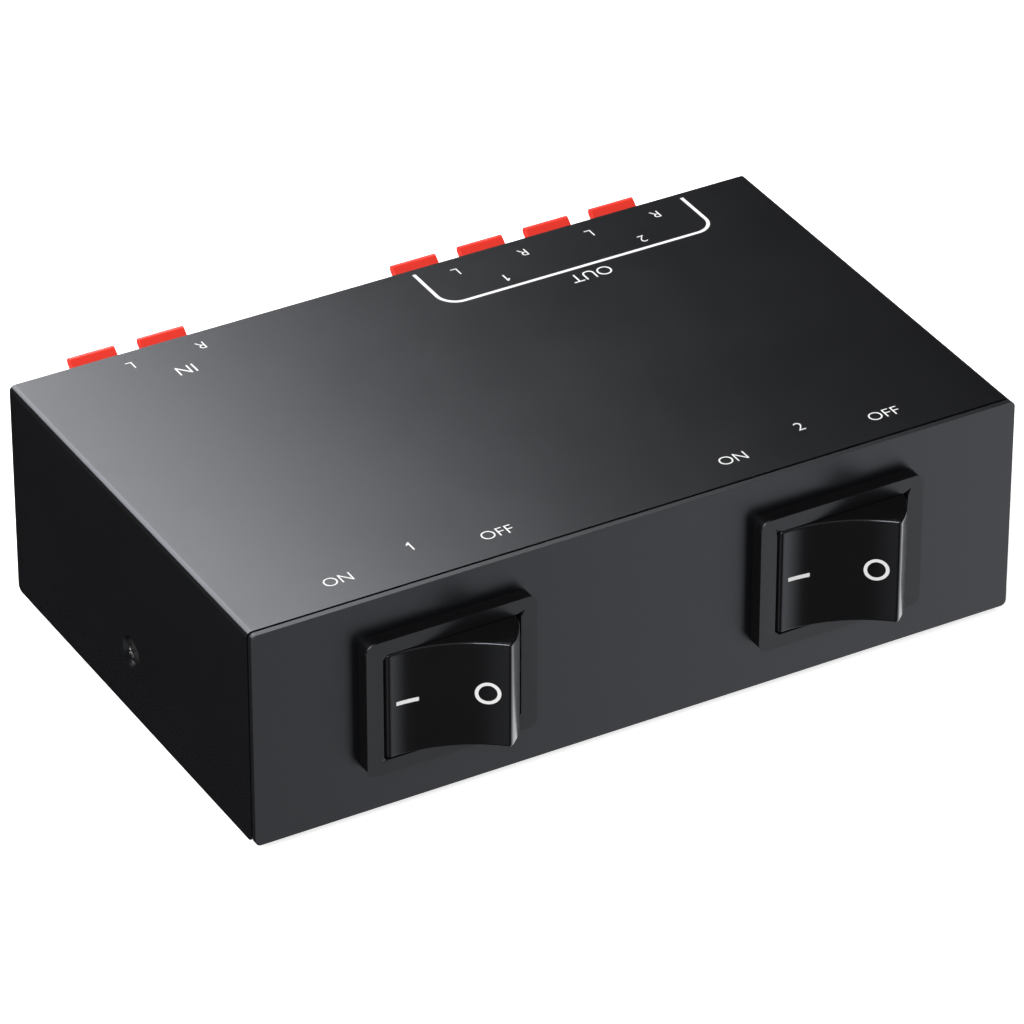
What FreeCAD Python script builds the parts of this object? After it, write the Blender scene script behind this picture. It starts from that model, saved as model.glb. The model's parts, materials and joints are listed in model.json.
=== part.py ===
import FreeCAD, Part
import math
import os
from FreeCAD import Vector

# A two-pair speaker selector switch: a folded sheet metal case with two rocker switches in
# front, and one input and one output block of spring lever wire terminals behind.
# The shapes are drawn with y = 0 on the front panel's face and z = 0 under the case.
# Place moves them so that the origin is the middle of the footprint, on the surface.
# All sizes are in millimetres and degrees.

# Case
case_width = 141.5
case_depth = 85.5
case_height = 40.0
chassis_sheet = 1.0
cover_sheet = 1.0
bend_radius = 1.0
shadow_gap = 0.35
cover_gap = 0.15
cover_corner = 1.2
inner_bend_fillet = 0.8

# Cover screws, one on each side, in tabs bent up from the chassis
cover_screw_from_front = 43.0
cover_screw_height = 12.1
cover_screw_radius = 1.5
cover_screw_head_radius = 2.85
cover_screw_length = 7.0
screw_clearance = 0.05
tab_width = 16.0
tab_height = 19.0

# Feet
foot_height = 2.0
foot_width = 10.0
foot_inset = 12.0

# Rocker switches
switch_spacing = 72.6
switch_height = 20.6
bezel_width = 31.0
bezel_height = 25.3
bezel_thickness = 2.5
bezel_corner = 2.0
bezel_chamfer = 0.4
body_width = 27.6
body_height = 22.4
cutout_clearance = 0.2
body_depth = 19.5
opening_width = 25.0
opening_height = 20.1
rocker_well_depth = 7.95
floor_thickness = 1.55
chamber_width = 24.4
pole_spacing = 10.4
chamber_height = 8.4
wing_reach = 0.8
wing_root = 0.5
wing_length = 8.0
wing_width = 8.0

# Rocker
pivot_depth = 0.75
rocker_half_chord = 9.9
rocker_face_distance = 7.24
rocker_dish = 1.95
rocker_throw = 40.4
rocker_side_gap = 0.2
rocker_skirt_angle = 100.0
rocker_wall = 1.5
trunnion_radius = 1.5
trunnion_reach = 0.75
running_clearance = 0.05
plunger_boss_width = 6.0
plunger_boss_end = 7.0
plunger_width = 3.6
plunger_clearance = 0.05
spring_radius = 1.7
plunger_start = 3.0
plunger_reach = 13.5
plunger_nose = 1.0
spring_top = -3.2

# See-saw contacts, one per pole, and the blade terminals behind them
contact_throw = 20.0
contact_axis_depth = 14.9
contact_top = 1.3
contact_thickness = 0.8
contact_width = 4.0
contact_half_length = 9.5
contact_flat = 2.0
contact_wing = 5.5
contact_wing_angle = 30.0
fulcrum_radius = 0.6
lug_thickness = 0.8
lug_width = 6.3
lug_length = 9.8
lug_slot_clearance = 0.05
lug_chamfer = 0.8
output_lug_offset = 8.9
contact_pad_length = 2.8
contact_gap = 0.05
off_stop_width = 2.0
off_stop_gap = 0.1

# Wire terminals. A cell's sizes are from the block's middle height and from the back panel.
terminal_pitch = 13.05
input_cells = 2
output_cells = 4
input_from_left = 26.9
output_from_right = 40.0
terminal_height = 20.0
plate_height = 32.0
plate_thickness = 2.2
plate_ear = 7.0
plate_corner = 1.5
block_height = 29.0
block_depth = 16.0
block_side = 6.8
block_clearance = 0.3
front_wall = 1.8
cell_width = 10.2
cell_floor = 1.0
cell_top = 13.0
mouth_width = 4.8
mouth_height = 4.6
mouth_middle = 4.4
mouth_chamfer = 0.5
slot_bottom = 7.6
slot_top = 12.0
slot_clearance = 0.3

# Levers
lever_width = 8.4
lever_thickness = 1.6
lever_reach = 11.8
lever_tip_top = 14.5
lever_lip_angle = 40.0
lever_pivot_depth = 11.5
lever_pivot_height = 10.8
lever_tail = 1.2
lever_pin_reach = 0.7
lever_pin_chamfer = 0.45
lever_pin_clearance = 0.07
snap_bite = 0.15
lever_throw = 9.0
leg_front = 2.6
leg_thickness = 1.4
leg_end = 3.6
leg_window = 3.8

# Contact strips in the cells
strip_thickness = 0.6
strip_depth = 7.0
strip_groove = 0.5
strip_fit = 0.05
strip_window = 4.0
strip_top = 8.0
strip_tail_width = 5.0
strip_tail_end = 23.5
tongue_width = 3.0
tongue_thickness = 0.4
tongue_root = 13.0
tongue_tip = 8.0
tongue_rise = 1.1

# Terminal screws, which cut their own threads in the back panel
terminal_screw_radius = 1.45
terminal_screw_hole = 1.6
terminal_screw_head_radius = 2.7
terminal_screw_head = 1.8
terminal_screw_length = 7.5

# Hook-up wire
wire_radius = 0.8
wire_sides = 6
wire_offset = 1.2
wire_lead = 3.0
sharp_bends = 1

# How far a cutting shape runs past what it cuts, and how close counts as touching
overcut = 1.0
touching = 1e-6

X = Vector(1, 0, 0)
Y = Vector(0, 1, 0)
Z = Vector(0, 0, 1)
half_width = case_width / 2
switch_places = (-switch_spacing / 2, switch_spacing / 2)
terminal_blocks = {"input": (input_from_left - half_width, input_cells),
                   "output": (half_width - output_from_right, output_cells)}
cell_names = {"input": ("left", "right"),
              "output": ("1_left", "1_right", "2_left", "2_right")}
rocker_tilt = rocker_throw / 2
contact_tilt = contact_throw / 2
rocker_radius = math.hypot(rocker_half_chord, rocker_face_distance)
edge_angle = math.degrees(math.atan2(rocker_half_chord, rocker_face_distance))
rocker_reach = rocker_radius * math.cos(math.radians(edge_angle - rocker_tilt)) - pivot_depth
front_y = -(case_depth + lever_reach - rocker_reach) / 2
place = Vector(0, front_y, foot_height)


def export(name, shape):
    """Moves a finished piece into the part's frame and writes it."""
    piece = shape.copy()
    piece.translate(place)
    piece.exportStep("parts/" + name + ".step")


def block(x0, x1, y0, y1, z0, z1):
    return Part.makeBox(x1 - x0, y1 - y0, z1 - z0, Vector(x0, y0, z0))


def centred(x, z, width, height, y0, y1):
    """A block centred on (x, z), from depth y0 to y1."""
    return block(x - width / 2, x + width / 2, y0, y1, z - height / 2, z + height / 2)


def edges_along(shape, axis):
    found = []
    for edge in shape.Edges:
        run = edge.Vertexes[-1].Point - edge.Vertexes[0].Point
        if run.Length > 0 and abs(abs(run.dot(axis)) - run.Length) < touching:
            found.append(edge)
    return found


def rounded(x, z, width, height, y0, y1, radius):
    """A centred block with its four edges along the depth rounded."""
    shape = centred(x, z, width, height, y0, y1)
    return shape.makeFillet(radius, edges_along(shape, Y))


def rim(shape, y):
    """The edges that lie in the plane of depth y."""
    return [edge for edge in shape.Edges if abs(edge.BoundBox.YMin - y) < touching
            and abs(edge.BoundBox.YMax - y) < touching]


def rod(start, axis, radius, length):
    return Part.makeCylinder(radius, length, start, axis)


def outline(points):
    """A closed wire through points. A point given as a tuple is the middle of an arc."""
    edges = []
    start = points[0]
    middle = None
    for point in points[1:] + points[:1]:
        if isinstance(point, tuple):
            middle = point[0]
            continue
        if middle:
            edges.append(Part.Arc(start, middle, point).toShape())
        else:
            edges.append(Part.LineSegment(start, point).toShape())
        start = point
        middle = None
    return Part.Wire(edges)


def prism(points, reach):
    """A prism on an outline, grown by the vector reach."""
    return Part.Face(outline(points)).extrude(reach)


def turned(shape, centre, axis, angle):
    piece = shape.copy()
    piece.rotate(centre, axis, angle)
    return piece


def mirrored_z(shape, z):
    return shape.mirror(Vector(0, 0, z), Z)


def fused(shapes):
    return shapes[0].fuse(shapes[1:]).removeSplitter()


# Case

def screw_cut(side, growth):
    """The countersunk screw's outline on one side of the case, grown by a clearance."""
    surface = Vector(side * half_width, cover_screw_from_front, cover_screw_height)
    inward = Vector(-side, 0, 0)
    head = cover_screw_head_radius + growth
    shank = cover_screw_radius + growth
    cone = Part.makeCone(head, shank, head - shank, surface, inward)
    return cone.fuse(rod(surface, inward, shank, cover_screw_length + growth))


def cover_screw(side):
    return screw_cut(side, 0).removeSplitter()


def front_panel(y0, y1):
    """The front panel, whose rounded corners cover the ends of the folded cover."""
    return rounded(0, case_height / 2, case_width, case_height, y0, y1, bend_radius)


def block_span(middle, cells):
    """The x where a terminal block begins and ends."""
    half = (cells - 1) * terminal_pitch / 2 + block_side
    return middle - half, middle + half


def terminal_screw_places(middle, cells):
    x0, x1 = block_span(middle, cells)
    return x0 - plate_ear / 2, x1 + plate_ear / 2


def chassis():
    """The tub: the back panel stands inside the cover, the front panel in front of it."""
    tab_x = half_width - cover_sheet - cover_gap
    front = front_panel(0, chassis_sheet)
    back = block(-tab_x, tab_x, case_depth - chassis_sheet, case_depth,
                 0, case_height - cover_sheet - cover_gap)
    floor = block(-tab_x, tab_x, chassis_sheet / 2, case_depth - chassis_sheet / 2, 0, chassis_sheet)
    tub = fused([front, floor, back])
    corners = [edge for edge in edges_along(tub, X) if abs(edge.BoundBox.ZMax - chassis_sheet) < touching
               and edge.Length > case_width / 2]
    tub = tub.makeFillet(inner_bend_fillet, corners)
    for side in (-1, 1):
        x0, x1 = sorted((side * tab_x, side * (tab_x - chassis_sheet)))
        tab = block(x0, x1, cover_screw_from_front - tab_width / 2,
                    cover_screw_from_front + tab_width / 2, 0, tab_height)
        tub = tub.fuse(tab).cut(screw_cut(side, screw_clearance))
    for x in switch_places:
        hole = centred(x, switch_height, body_width + 2 * cutout_clearance,
                       body_height + 2 * cutout_clearance, -overcut, chassis_sheet + overcut)
        tub = tub.cut(hole)
    for middle, cells in terminal_blocks.values():
        x0, x1 = block_span(middle, cells)
        hole = block(x0 - block_clearance, x1 + block_clearance, case_depth - chassis_sheet - overcut,
                     case_depth + overcut, terminal_height - block_height / 2 - block_clearance,
                     terminal_height + block_height / 2 + block_clearance)
        tub = tub.cut(hole)
        for x in terminal_screw_places(middle, cells):
            start = Vector(x, case_depth - chassis_sheet - overcut, terminal_height)
            tub = tub.cut(rod(start, Y, terminal_screw_radius + screw_clearance,
                              chassis_sheet + 2 * overcut))
    return tub.removeSplitter()


def cover():
    y0 = chassis_sheet + shadow_gap
    outer = block(-half_width, half_width, y0, case_depth, 0, case_height)
    bends = [edge for edge in edges_along(outer, Y) if edge.BoundBox.ZMax > case_height / 2]
    outer = outer.makeFillet(bend_radius, bends)
    inner_half = half_width - cover_sheet
    inner = block(-inner_half, inner_half, y0 - chassis_sheet, case_depth + chassis_sheet,
                  -chassis_sheet, case_height - cover_sheet)
    shell = outer.cut(inner)
    lower = [edge for edge in edges_along(shell, X) if edge.BoundBox.ZMax < touching]
    shell = shell.makeFillet(cover_corner, lower)
    for side in (-1, 1):
        shell = shell.cut(screw_cut(side, screw_clearance))
    return shell


def feet():
    pads = []
    for x in (foot_inset - half_width, half_width - foot_inset):
        for y in (foot_inset, case_depth - foot_inset):
            pads.append(block(x - foot_width / 2, x + foot_width / 2, y - foot_width / 2,
                              y + foot_width / 2, -foot_height, 0))
    return Part.makeCompound(pads)


# Rocker switches

def pole_heights():
    return switch_height + pole_spacing / 2, switch_height - pole_spacing / 2


def pivot(x):
    return Vector(x, pivot_depth, switch_height)


def contact_axis(x, z):
    return Vector(x, pivot_depth + contact_axis_depth, z)


def housing(x):
    z = switch_height
    floor_y = body_depth - floor_thickness
    bezel = rounded(x, z, bezel_width, bezel_height, -bezel_thickness, 0, bezel_corner)
    bezel = bezel.makeChamfer(bezel_chamfer, rim(bezel, -bezel_thickness))
    shape = fused([bezel, centred(x, z, body_width, body_height, -bezel_thickness / 2, body_depth)])
    well_end = pivot_depth + rocker_well_depth
    shape = shape.cut(centred(x, z, opening_width, opening_height,
                              -bezel_thickness - overcut, well_end))
    for pole_z in pole_heights():
        shape = shape.cut(centred(x, pole_z, chamber_width, chamber_height,
                                  well_end - overcut, floor_y))
        stop_x = x - output_lug_offset
        stop = centred(stop_x, pole_z, off_stop_width, contact_width, off_stop_depth(),
                       floor_y + floor_thickness / 2)
        shape = shape.fuse(stop)
        for lug_x in (x, x + output_lug_offset):
            slot = centred(lug_x, pole_z, lug_thickness + 2 * lug_slot_clearance,
                           lug_width + 2 * lug_slot_clearance, floor_y - overcut,
                           body_depth + overcut)
            shape = shape.cut(slot)
    socket = opening_height / 2 + trunnion_reach + running_clearance
    hole = rod(pivot(x) - Z * socket, Z, trunnion_radius + running_clearance, 2 * socket)
    shape = shape.cut(hole)
    wing_y = chassis_sheet + 2 * screw_clearance
    for side in (-1, 1):
        root = x + side * body_width / 2
        points = [Vector(root - side * wing_root, wing_y, z - wing_width / 2),
                  Vector(root + side * wing_reach, wing_y, z - wing_width / 2),
                  Vector(root, wing_y + wing_length, z - wing_width / 2),
                  Vector(root - side * wing_root, wing_y + wing_length, z - wing_width / 2)]
        shape = shape.fuse(prism(points, Z * wing_width))
    return shape.removeSplitter()


def rocker_profile(inset, low_y, z):
    """The rocker's dished face and round ends about the pivot, in its middle position."""
    half = rocker_half_chord
    face = rocker_face_distance
    if inset:
        half = half - inset
        face = face - inset
    middle = (edge_angle + rocker_skirt_angle) / 2
    radius = math.hypot(half, face) if inset else rocker_radius
    end_x = math.sqrt(radius ** 2 - low_y ** 2)
    mid_x = radius * math.sin(math.radians(middle))
    mid_y = -radius * math.cos(math.radians(middle))
    face_middle = -(rocker_face_distance - rocker_dish - inset)
    return [Vector(-half, -face, z), (Vector(0, face_middle, z),), Vector(half, -face, z),
            (Vector(mid_x, mid_y, z),), Vector(end_x, low_y, z),
            Vector(-end_x, low_y, z), (Vector(-mid_x, mid_y, z),)]


def rocker(x):
    skirt_y = -rocker_radius * math.cos(math.radians(rocker_skirt_angle))
    height = opening_height - 2 * rocker_side_gap
    shape = prism(rocker_profile(0, skirt_y, -height / 2), Z * height)
    inner_height = height - 2 * rocker_wall
    shape = shape.cut(prism(rocker_profile(rocker_wall, skirt_y, -inner_height / 2), Z * inner_height))
    mouth = block(-rocker_half_chord, rocker_half_chord, skirt_y - overcut, skirt_y + overcut,
                  -inner_height / 2, inner_height / 2)
    shape = shape.cut(mouth)
    web_y = -(rocker_face_distance - rocker_dish - rocker_wall / 2)
    web = block(-rocker_wall / 2, rocker_wall / 2, web_y, trunnion_radius,
                -inner_height / 2 - rocker_wall / 2, inner_height / 2 + rocker_wall / 2)
    shape = shape.fuse(web)
    for z in (pole_spacing / 2, -pole_spacing / 2):
        boss = centred(0, z, plunger_boss_width, plunger_boss_width, web_y, plunger_boss_end)
        shape = shape.fuse(boss)
    for z in (pole_spacing / 2, -pole_spacing / 2):
        bore_width = plunger_width + 2 * plunger_clearance
        bore = centred(0, z, bore_width, bore_width, spring_top,
                       plunger_boss_end + overcut)
        shape = shape.cut(bore)
    for side in (-1, 1):
        root = side * (height / 2 - rocker_wall / 2)
        reach = rocker_wall / 2 + rocker_side_gap + trunnion_reach
        shape = shape.fuse(rod(Vector(0, 0, root), Z * side, trunnion_radius, reach))
    return at_rest(shape.removeSplitter(), x)


def at_rest(shape, x):
    """Carries a rocker piece from the pivot's origin to its switch, pressed to ON."""
    piece = turned(shape, Vector(0, 0, 0), Z, -rocker_tilt)
    piece.translate(pivot(x))
    return piece


def plunger_outline(z):
    """The plunger seen along the pivot: straight sides and a nose cut to a blunt wedge."""
    shoulder = plunger_reach - plunger_nose
    half = plunger_width / 2
    half_tip = half - plunger_nose
    return [Vector(-half, plunger_start, z), Vector(half, plunger_start, z),
            Vector(half, shoulder, z), Vector(half_tip, plunger_reach, z),
            Vector(-half_tip, plunger_reach, z), Vector(-half, shoulder, z)]


def plungers(x):
    """The sprung pins whose noses ride on the see-saw contacts."""
    pins = []
    for z in (pole_spacing / 2, -pole_spacing / 2):
        pins.append(prism(plunger_outline(z - plunger_width / 2), Z * plunger_width))
    return at_rest(Part.makeCompound(pins), x)


def plunger_springs(x):
    """Each spring fills the bore behind its plunger, as a rod of the coil's size."""
    rods = [rod(Vector(0, spring_top, z), Y, spring_radius, plunger_start - spring_top)
            for z in (pole_spacing / 2, -pole_spacing / 2)]
    return at_rest(Part.makeCompound(rods), x)


def contact_outline(z):
    """The see-saw contact about its own axis: flat in the middle, with raised wings."""
    rise = (contact_wing - contact_flat) * math.tan(math.radians(contact_wing_angle))
    shift = contact_thickness * math.tan(math.radians(contact_wing_angle / 2))
    under = contact_top - contact_thickness
    upper = [(contact_flat, contact_top), (contact_wing, contact_top + rise),
             (contact_half_length, contact_top + rise)]
    lower = [(contact_half_length, under + rise), (contact_wing + shift, under + rise),
             (contact_flat + shift, under)]
    points = [Vector(s, -h, z) for s, h in upper + lower]
    points += [Vector(-s, -h, z) for s, h in reversed(upper + lower)]
    return points


def contact_blade(x, pole_z):
    blade = prism(contact_outline(-contact_width / 2), Z * contact_width)
    seat = rod(Vector(0, 0, -contact_width), Z, fulcrum_radius + running_clearance, 2 * contact_width)
    blade = turned(blade.cut(seat), Vector(0, 0, 0), Z, contact_tilt)
    blade.translate(contact_axis(x, pole_z))
    return blade


def wing_underside():
    rise = (contact_wing - contact_flat) * math.tan(math.radians(contact_wing_angle))
    return contact_top - contact_thickness + rise


def off_stop_depth():
    """The depth where a blade's OFF end comes down on its stop."""
    reach = output_lug_offset + off_stop_width / 2
    tilt = math.radians(contact_tilt)
    down = (reach * math.sin(tilt) - wing_underside() * math.cos(tilt)) + off_stop_gap
    return pivot_depth + contact_axis_depth + down


def lug_tail(x, pole_z, start_y):
    tail = centred(x, pole_z, lug_thickness, lug_width, start_y, body_depth + lug_length)
    tips = [edge for edge in edges_along(tail, X) if edge.BoundBox.YMin > body_depth]
    return tail.makeChamfer(lug_chamfer, tips)


def feed_lugs(x):
    """The two middle lugs, each with the round ridge that its blade rocks on."""
    lugs = []
    for pole_z in pole_heights():
        axis = contact_axis(x, pole_z)
        ridge = rod(axis - Z * contact_width / 2, Z, fulcrum_radius, contact_width)
        lugs.append(fused([ridge, lug_tail(x, pole_z, axis.y)]))
    return Part.makeCompound(lugs)


def output_lugs(x):
    """The two outer lugs, each with a pad that its blade comes down on when ON."""
    lugs = []
    for pole_z in pole_heights():
        axis = contact_axis(x, pole_z)
        pad_y = axis.y - wing_underside() + contact_gap
        pad = centred(x + output_lug_offset - contact_gap, pole_z, contact_pad_length,
                      contact_width, pad_y, pad_y + lug_thickness)
        pad = turned(pad, axis, Z, contact_tilt)
        lugs.append(fused([pad, lug_tail(x + output_lug_offset, pole_z,
                                         pad.CenterOfMass.y)]))
    return Part.makeCompound(lugs)


# Wire terminals

def cell_places(middle, cells):
    first = middle - (cells - 1) * terminal_pitch / 2
    return [first + index * terminal_pitch for index in range(cells)]


def cell_cut(x):
    """All that is cut from the block for one upper cell at x: chamber, mouth, slot, seats."""
    z = terminal_height
    inner_y = case_depth - front_wall
    face_y = case_depth + plate_thickness
    chamber = block(x - cell_width / 2, x + cell_width / 2, case_depth - block_depth - overcut,
                    inner_y, z + cell_floor, z + cell_top)
    mouth = centred(x, z + mouth_middle, mouth_width, mouth_height,
                    inner_y - overcut, face_y + overcut)
    flare = Part.makeLoft([
        mouth_wire(x, face_y - mouth_chamfer, 0),
        mouth_wire(x, face_y, mouth_chamfer)], True, True)
    slot_half = lever_width / 2 + slot_clearance
    slot = block(x - slot_half, x + slot_half, inner_y - overcut, face_y + overcut,
                 z + slot_bottom, z + slot_top)
    strip_y = case_depth - strip_depth
    groove_half = cell_width / 2 + strip_groove
    groove = block(x - groove_half, x + groove_half, strip_y - strip_thickness - strip_fit,
                   strip_y + strip_fit, z + cell_floor, z + cell_top)
    seat_half = cell_width / 2 + lever_pin_reach + running_clearance
    seat_side = lever_thickness / 2 + lever_pin_clearance
    pivot = lever_pivot(x)
    seat = centred(x, pivot.z, 2 * seat_half, 2 * seat_side, pivot.y - seat_side, pivot.y + seat_side)
    neck = lever_thickness / 2 - snap_bite
    entry = centred(x, pivot.z, 2 * seat_half, 2 * neck,
                    case_depth - block_depth - overcut, pivot.y)
    return chamber.fuse([mouth, flare, slot, groove, seat, entry])


def mouth_wire(x, y, growth):
    half = mouth_width / 2 + growth
    low = terminal_height + mouth_middle - mouth_height / 2 - growth
    high = terminal_height + mouth_middle + mouth_height / 2 + growth
    return outline([Vector(x - half, y, low), Vector(x + half, y, low),
                    Vector(x + half, y, high), Vector(x - half, y, high)])


def lever_pivot(x):
    """The axis of an upper lever at x."""
    return Vector(x, case_depth - lever_pivot_depth, terminal_height + lever_pivot_height)


def terminal_body(middle, cells):
    x0, x1 = block_span(middle, cells)
    width = x1 - x0
    plate = rounded(middle, terminal_height, width + 2 * plate_ear, plate_height,
                    case_depth, case_depth + plate_thickness, plate_corner)
    body = centred(middle, terminal_height, width, block_height,
                   case_depth - block_depth, case_depth + plate_thickness / 2)
    shape = fused([plate, body])
    for x in cell_places(middle, cells):
        upper = cell_cut(x)
        shape = shape.cut([upper, mirrored_z(upper, terminal_height)])
    for x in terminal_screw_places(middle, cells):
        hole = rod(Vector(x, case_depth - overcut, terminal_height), Y, terminal_screw_hole,
                   plate_thickness + 2 * overcut)
        shape = shape.cut(hole)
    return shape


def lever(x, row):
    """One spring lever: a tab with an upturned lip, and a leg with a hole for the wire."""
    radius = lever_thickness / 2
    top = lever_pivot_height + radius
    bottom = lever_pivot_height - radius
    tip_y = lever_reach - radius
    tip_z = lever_tip_top - radius
    angle = math.radians(lever_lip_angle)
    along = Vector(0, math.cos(angle), math.sin(angle))
    across = Vector(0, -math.sin(angle), math.cos(angle))
    tip = Vector(0, tip_y, tip_z)
    upper_tangent = tip + across * radius
    lower_tangent = tip - across * radius
    upper_elbow = upper_tangent - along * ((upper_tangent.z - top) / along.z)
    lower_elbow = lower_tangent - along * ((lower_tangent.z - bottom) / along.z)
    rear = -lever_pivot_depth - lever_tail
    points = [Vector(0, rear, top), upper_elbow, upper_tangent, (tip + along * radius,),
              lower_tangent, lower_elbow,
              Vector(0, -leg_front, bottom), Vector(0, -leg_front, leg_end),
              Vector(0, -leg_front - leg_thickness, leg_end),
              Vector(0, -leg_front - leg_thickness, bottom), Vector(0, rear, bottom)]
    shape = prism(points, X * lever_width)
    shape.translate(Vector(x - lever_width / 2, case_depth, terminal_height))
    drop = (lever_pivot_depth - leg_front - leg_thickness / 2) * math.sin(math.radians(lever_throw))
    hole_z = terminal_height + mouth_middle + drop
    leg_y = case_depth - leg_front
    window = centred(x, hole_z, leg_window, leg_window,
                     leg_y - leg_thickness - overcut, leg_y + overcut)
    pivot = lever_pivot(x)
    pin = centred(x, pivot.z, cell_width + 2 * lever_pin_reach, lever_thickness,
                  pivot.y - radius, pivot.y + radius)
    pin = pin.makeChamfer(lever_pin_chamfer, edges_along(pin, X))
    shape = shape.cut(window).fuse(pin).removeSplitter()
    if row < 0:
        shape = mirrored_z(shape, terminal_height)
    return shape


def contact_strip(x, row):
    """A strip that stands in the cell's grooves, with its solder tail and a spring tongue."""
    z = terminal_height
    plate_y = case_depth - strip_depth
    half = cell_width / 2 + strip_groove - strip_fit
    stand = block(x - half, x + half, plate_y - strip_thickness, plate_y,
                  z + cell_floor + strip_fit, z + strip_top)
    window = centred(x, z + mouth_middle, strip_window, strip_window,
                     plate_y - strip_thickness - overcut, plate_y + overcut)
    tail = block(x - strip_tail_width / 2, x + strip_tail_width / 2, case_depth - strip_tail_end,
                 plate_y, z + strip_top - strip_thickness, z + strip_top)
    start = x - tongue_width / 2
    root_y = case_depth - tongue_root
    tip_y = case_depth - tongue_tip
    low = z + strip_top - strip_thickness / 2
    tongue = prism([Vector(start, root_y, low), Vector(start, tip_y, low + tongue_rise),
                    Vector(start, tip_y, low + tongue_rise + tongue_thickness),
                    Vector(start, root_y, low + tongue_thickness)], X * tongue_width)
    shape = fused([stand.cut(window), tail, tongue])
    if row < 0:
        shape = mirrored_z(shape, z)
    return shape


def terminal_screw(x):
    shank = rod(Vector(x, case_depth + plate_thickness - terminal_screw_length, terminal_height), Y,
                terminal_screw_radius, terminal_screw_length)
    head_y = case_depth + plate_thickness
    head = rod(Vector(x, head_y, terminal_height), Y, terminal_screw_head_radius,
               terminal_screw_head)
    return fused([shank, head])


# Wiring

def wire_section(start, direction):
    """The wire's many-sided section, square to its first run."""
    side = direction.cross(Z).normalize()
    up = side.cross(direction)
    corners = []
    for index in range(wire_sides):
        angle = 2 * math.pi * (index + 0.5) / wire_sides
        corners.append(start + side * (wire_radius * math.cos(angle))
                       + up * (wire_radius * math.sin(angle)))
    return outline(corners)


def hookup_wire(points):
    """A stiff wire in straight runs, bent sharply at the points between them."""
    section = wire_section(points[0], (points[1] - points[0]).normalize())
    return Part.makePolygon(points).makePipeShell([section], True, False, sharp_bends)


def strip_end(x, row):
    """Where a wire meets a terminal's solder tail."""
    z = terminal_height + row * (strip_top - strip_thickness / 2)
    return Vector(x, case_depth - strip_tail_end, z)


def lug_end(x, pole, shift):
    """Where a wire meets a switch lug: shift moves it off the lug's middle."""
    z = switch_height + pole * pole_spacing / 2 + shift
    return Vector(x, body_depth + lug_length, z)


# Depths of the wires' runs across the case, and for the dipped ones their heights too
jumper_depth = 36.0
left_feed_depths = (40.0, 50.0)
right_feed_depths = (42.0, 55.0)
left_output_depths = (40.0, 52.0)
right_output_depths = (42.0, 54.0)
left_return_depth = 55.5
right_return = (50.5, 7.5)
left_link = (53.5, 17.5)
right_link = (53.0, 5.5)


def crossing(start, end, depths):
    """A wire that leaves start along y, slants across and arrives at end along y."""
    first, last = depths
    return hookup_wire([start, Vector(start.x, first, start.z), Vector(end.x, last, end.z), end])


def loop_back(start, end, depth):
    """A wire between two ends on the same side, by way of a level run at a depth."""
    return hookup_wire([start, Vector(start.x, depth, start.z), Vector(end.x, depth, end.z), end])


def dipped(start, end, depth, z):
    """A loop that leaves both terminal tails along y before it dips to its own height."""
    lead = Y * wire_lead
    return hookup_wire([start, start - lead, Vector(start.x, depth, z),
                        Vector(end.x, depth, z), end - lead, end])


def wires():
    switch_1, switch_2 = switch_places
    in_left, in_right = cell_places(*terminal_blocks["input"])
    out_1_left, out_1_right, out_2_left, out_2_right = cell_places(*terminal_blocks["output"])
    side = wire_offset
    made = {
        "feed_wire_left": crossing(lug_end(switch_1, 1, side), strip_end(in_left, 1),
                                   left_feed_depths),
        "feed_wire_right": crossing(lug_end(switch_1, -1, -side), strip_end(in_right, 1),
                                    right_feed_depths),
    }
    for name, pole, shift in (("left", 1, -side), ("right", -1, side)):
        ends = [lug_end(x, pole, shift) for x in switch_places]
        made["switch_link_" + name] = loop_back(ends[0], ends[1], jumper_depth)
    outputs = (("output_wire_1_left", switch_1, 1, out_1_left, left_output_depths),
               ("output_wire_1_right", switch_1, -1, out_1_right, right_output_depths),
               ("output_wire_2_left", switch_2, 1, out_2_left, left_output_depths),
               ("output_wire_2_right", switch_2, -1, out_2_right, right_output_depths))
    for name, switch_x, pole, cell_x, depths in outputs:
        start = lug_end(switch_x + output_lug_offset, pole, pole * side)
        made[name] = crossing(start, strip_end(cell_x, 1), depths)
    black_in = [strip_end(x, -1) for x in (in_left, in_right)]
    black_1 = [strip_end(x - side, -1) for x in (out_1_left, out_1_right)]
    black_1_link = [strip_end(x + side, -1) for x in (out_1_left, out_1_right)]
    black_2 = [strip_end(x, -1) for x in (out_2_left, out_2_right)]
    made["return_wire_left"] = loop_back(black_in[0], black_1[0], left_return_depth)
    made["return_wire_right"] = dipped(black_in[1], black_1[1], *right_return)
    made["return_link_left"] = dipped(black_1_link[0], black_2[0], *left_link)
    made["return_link_right"] = dipped(black_1_link[1], black_2[1], *right_link)
    return made


os.makedirs("parts", exist_ok=True)
export("base_chassis", chassis())
export("top_cover", cover())
export("cover_screws", Part.makeCompound([cover_screw(-1), cover_screw(1)]))
export("rubber_feet", feet())

for number, x in enumerate(switch_places, 1):
    prefix = "switch_" + str(number) + "_"
    upper, lower = pole_heights()
    export(prefix + "housing", housing(x))
    export(prefix + "rocker", rocker(x))
    export(prefix + "plungers", plungers(x))
    export(prefix + "plunger_springs", plunger_springs(x))
    export(prefix + "upper_contact", contact_blade(x, upper))
    export(prefix + "lower_contact", contact_blade(x, lower))
    export(prefix + "feed_lugs", feed_lugs(x))
    export(prefix + "output_lugs", output_lugs(x))

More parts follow.
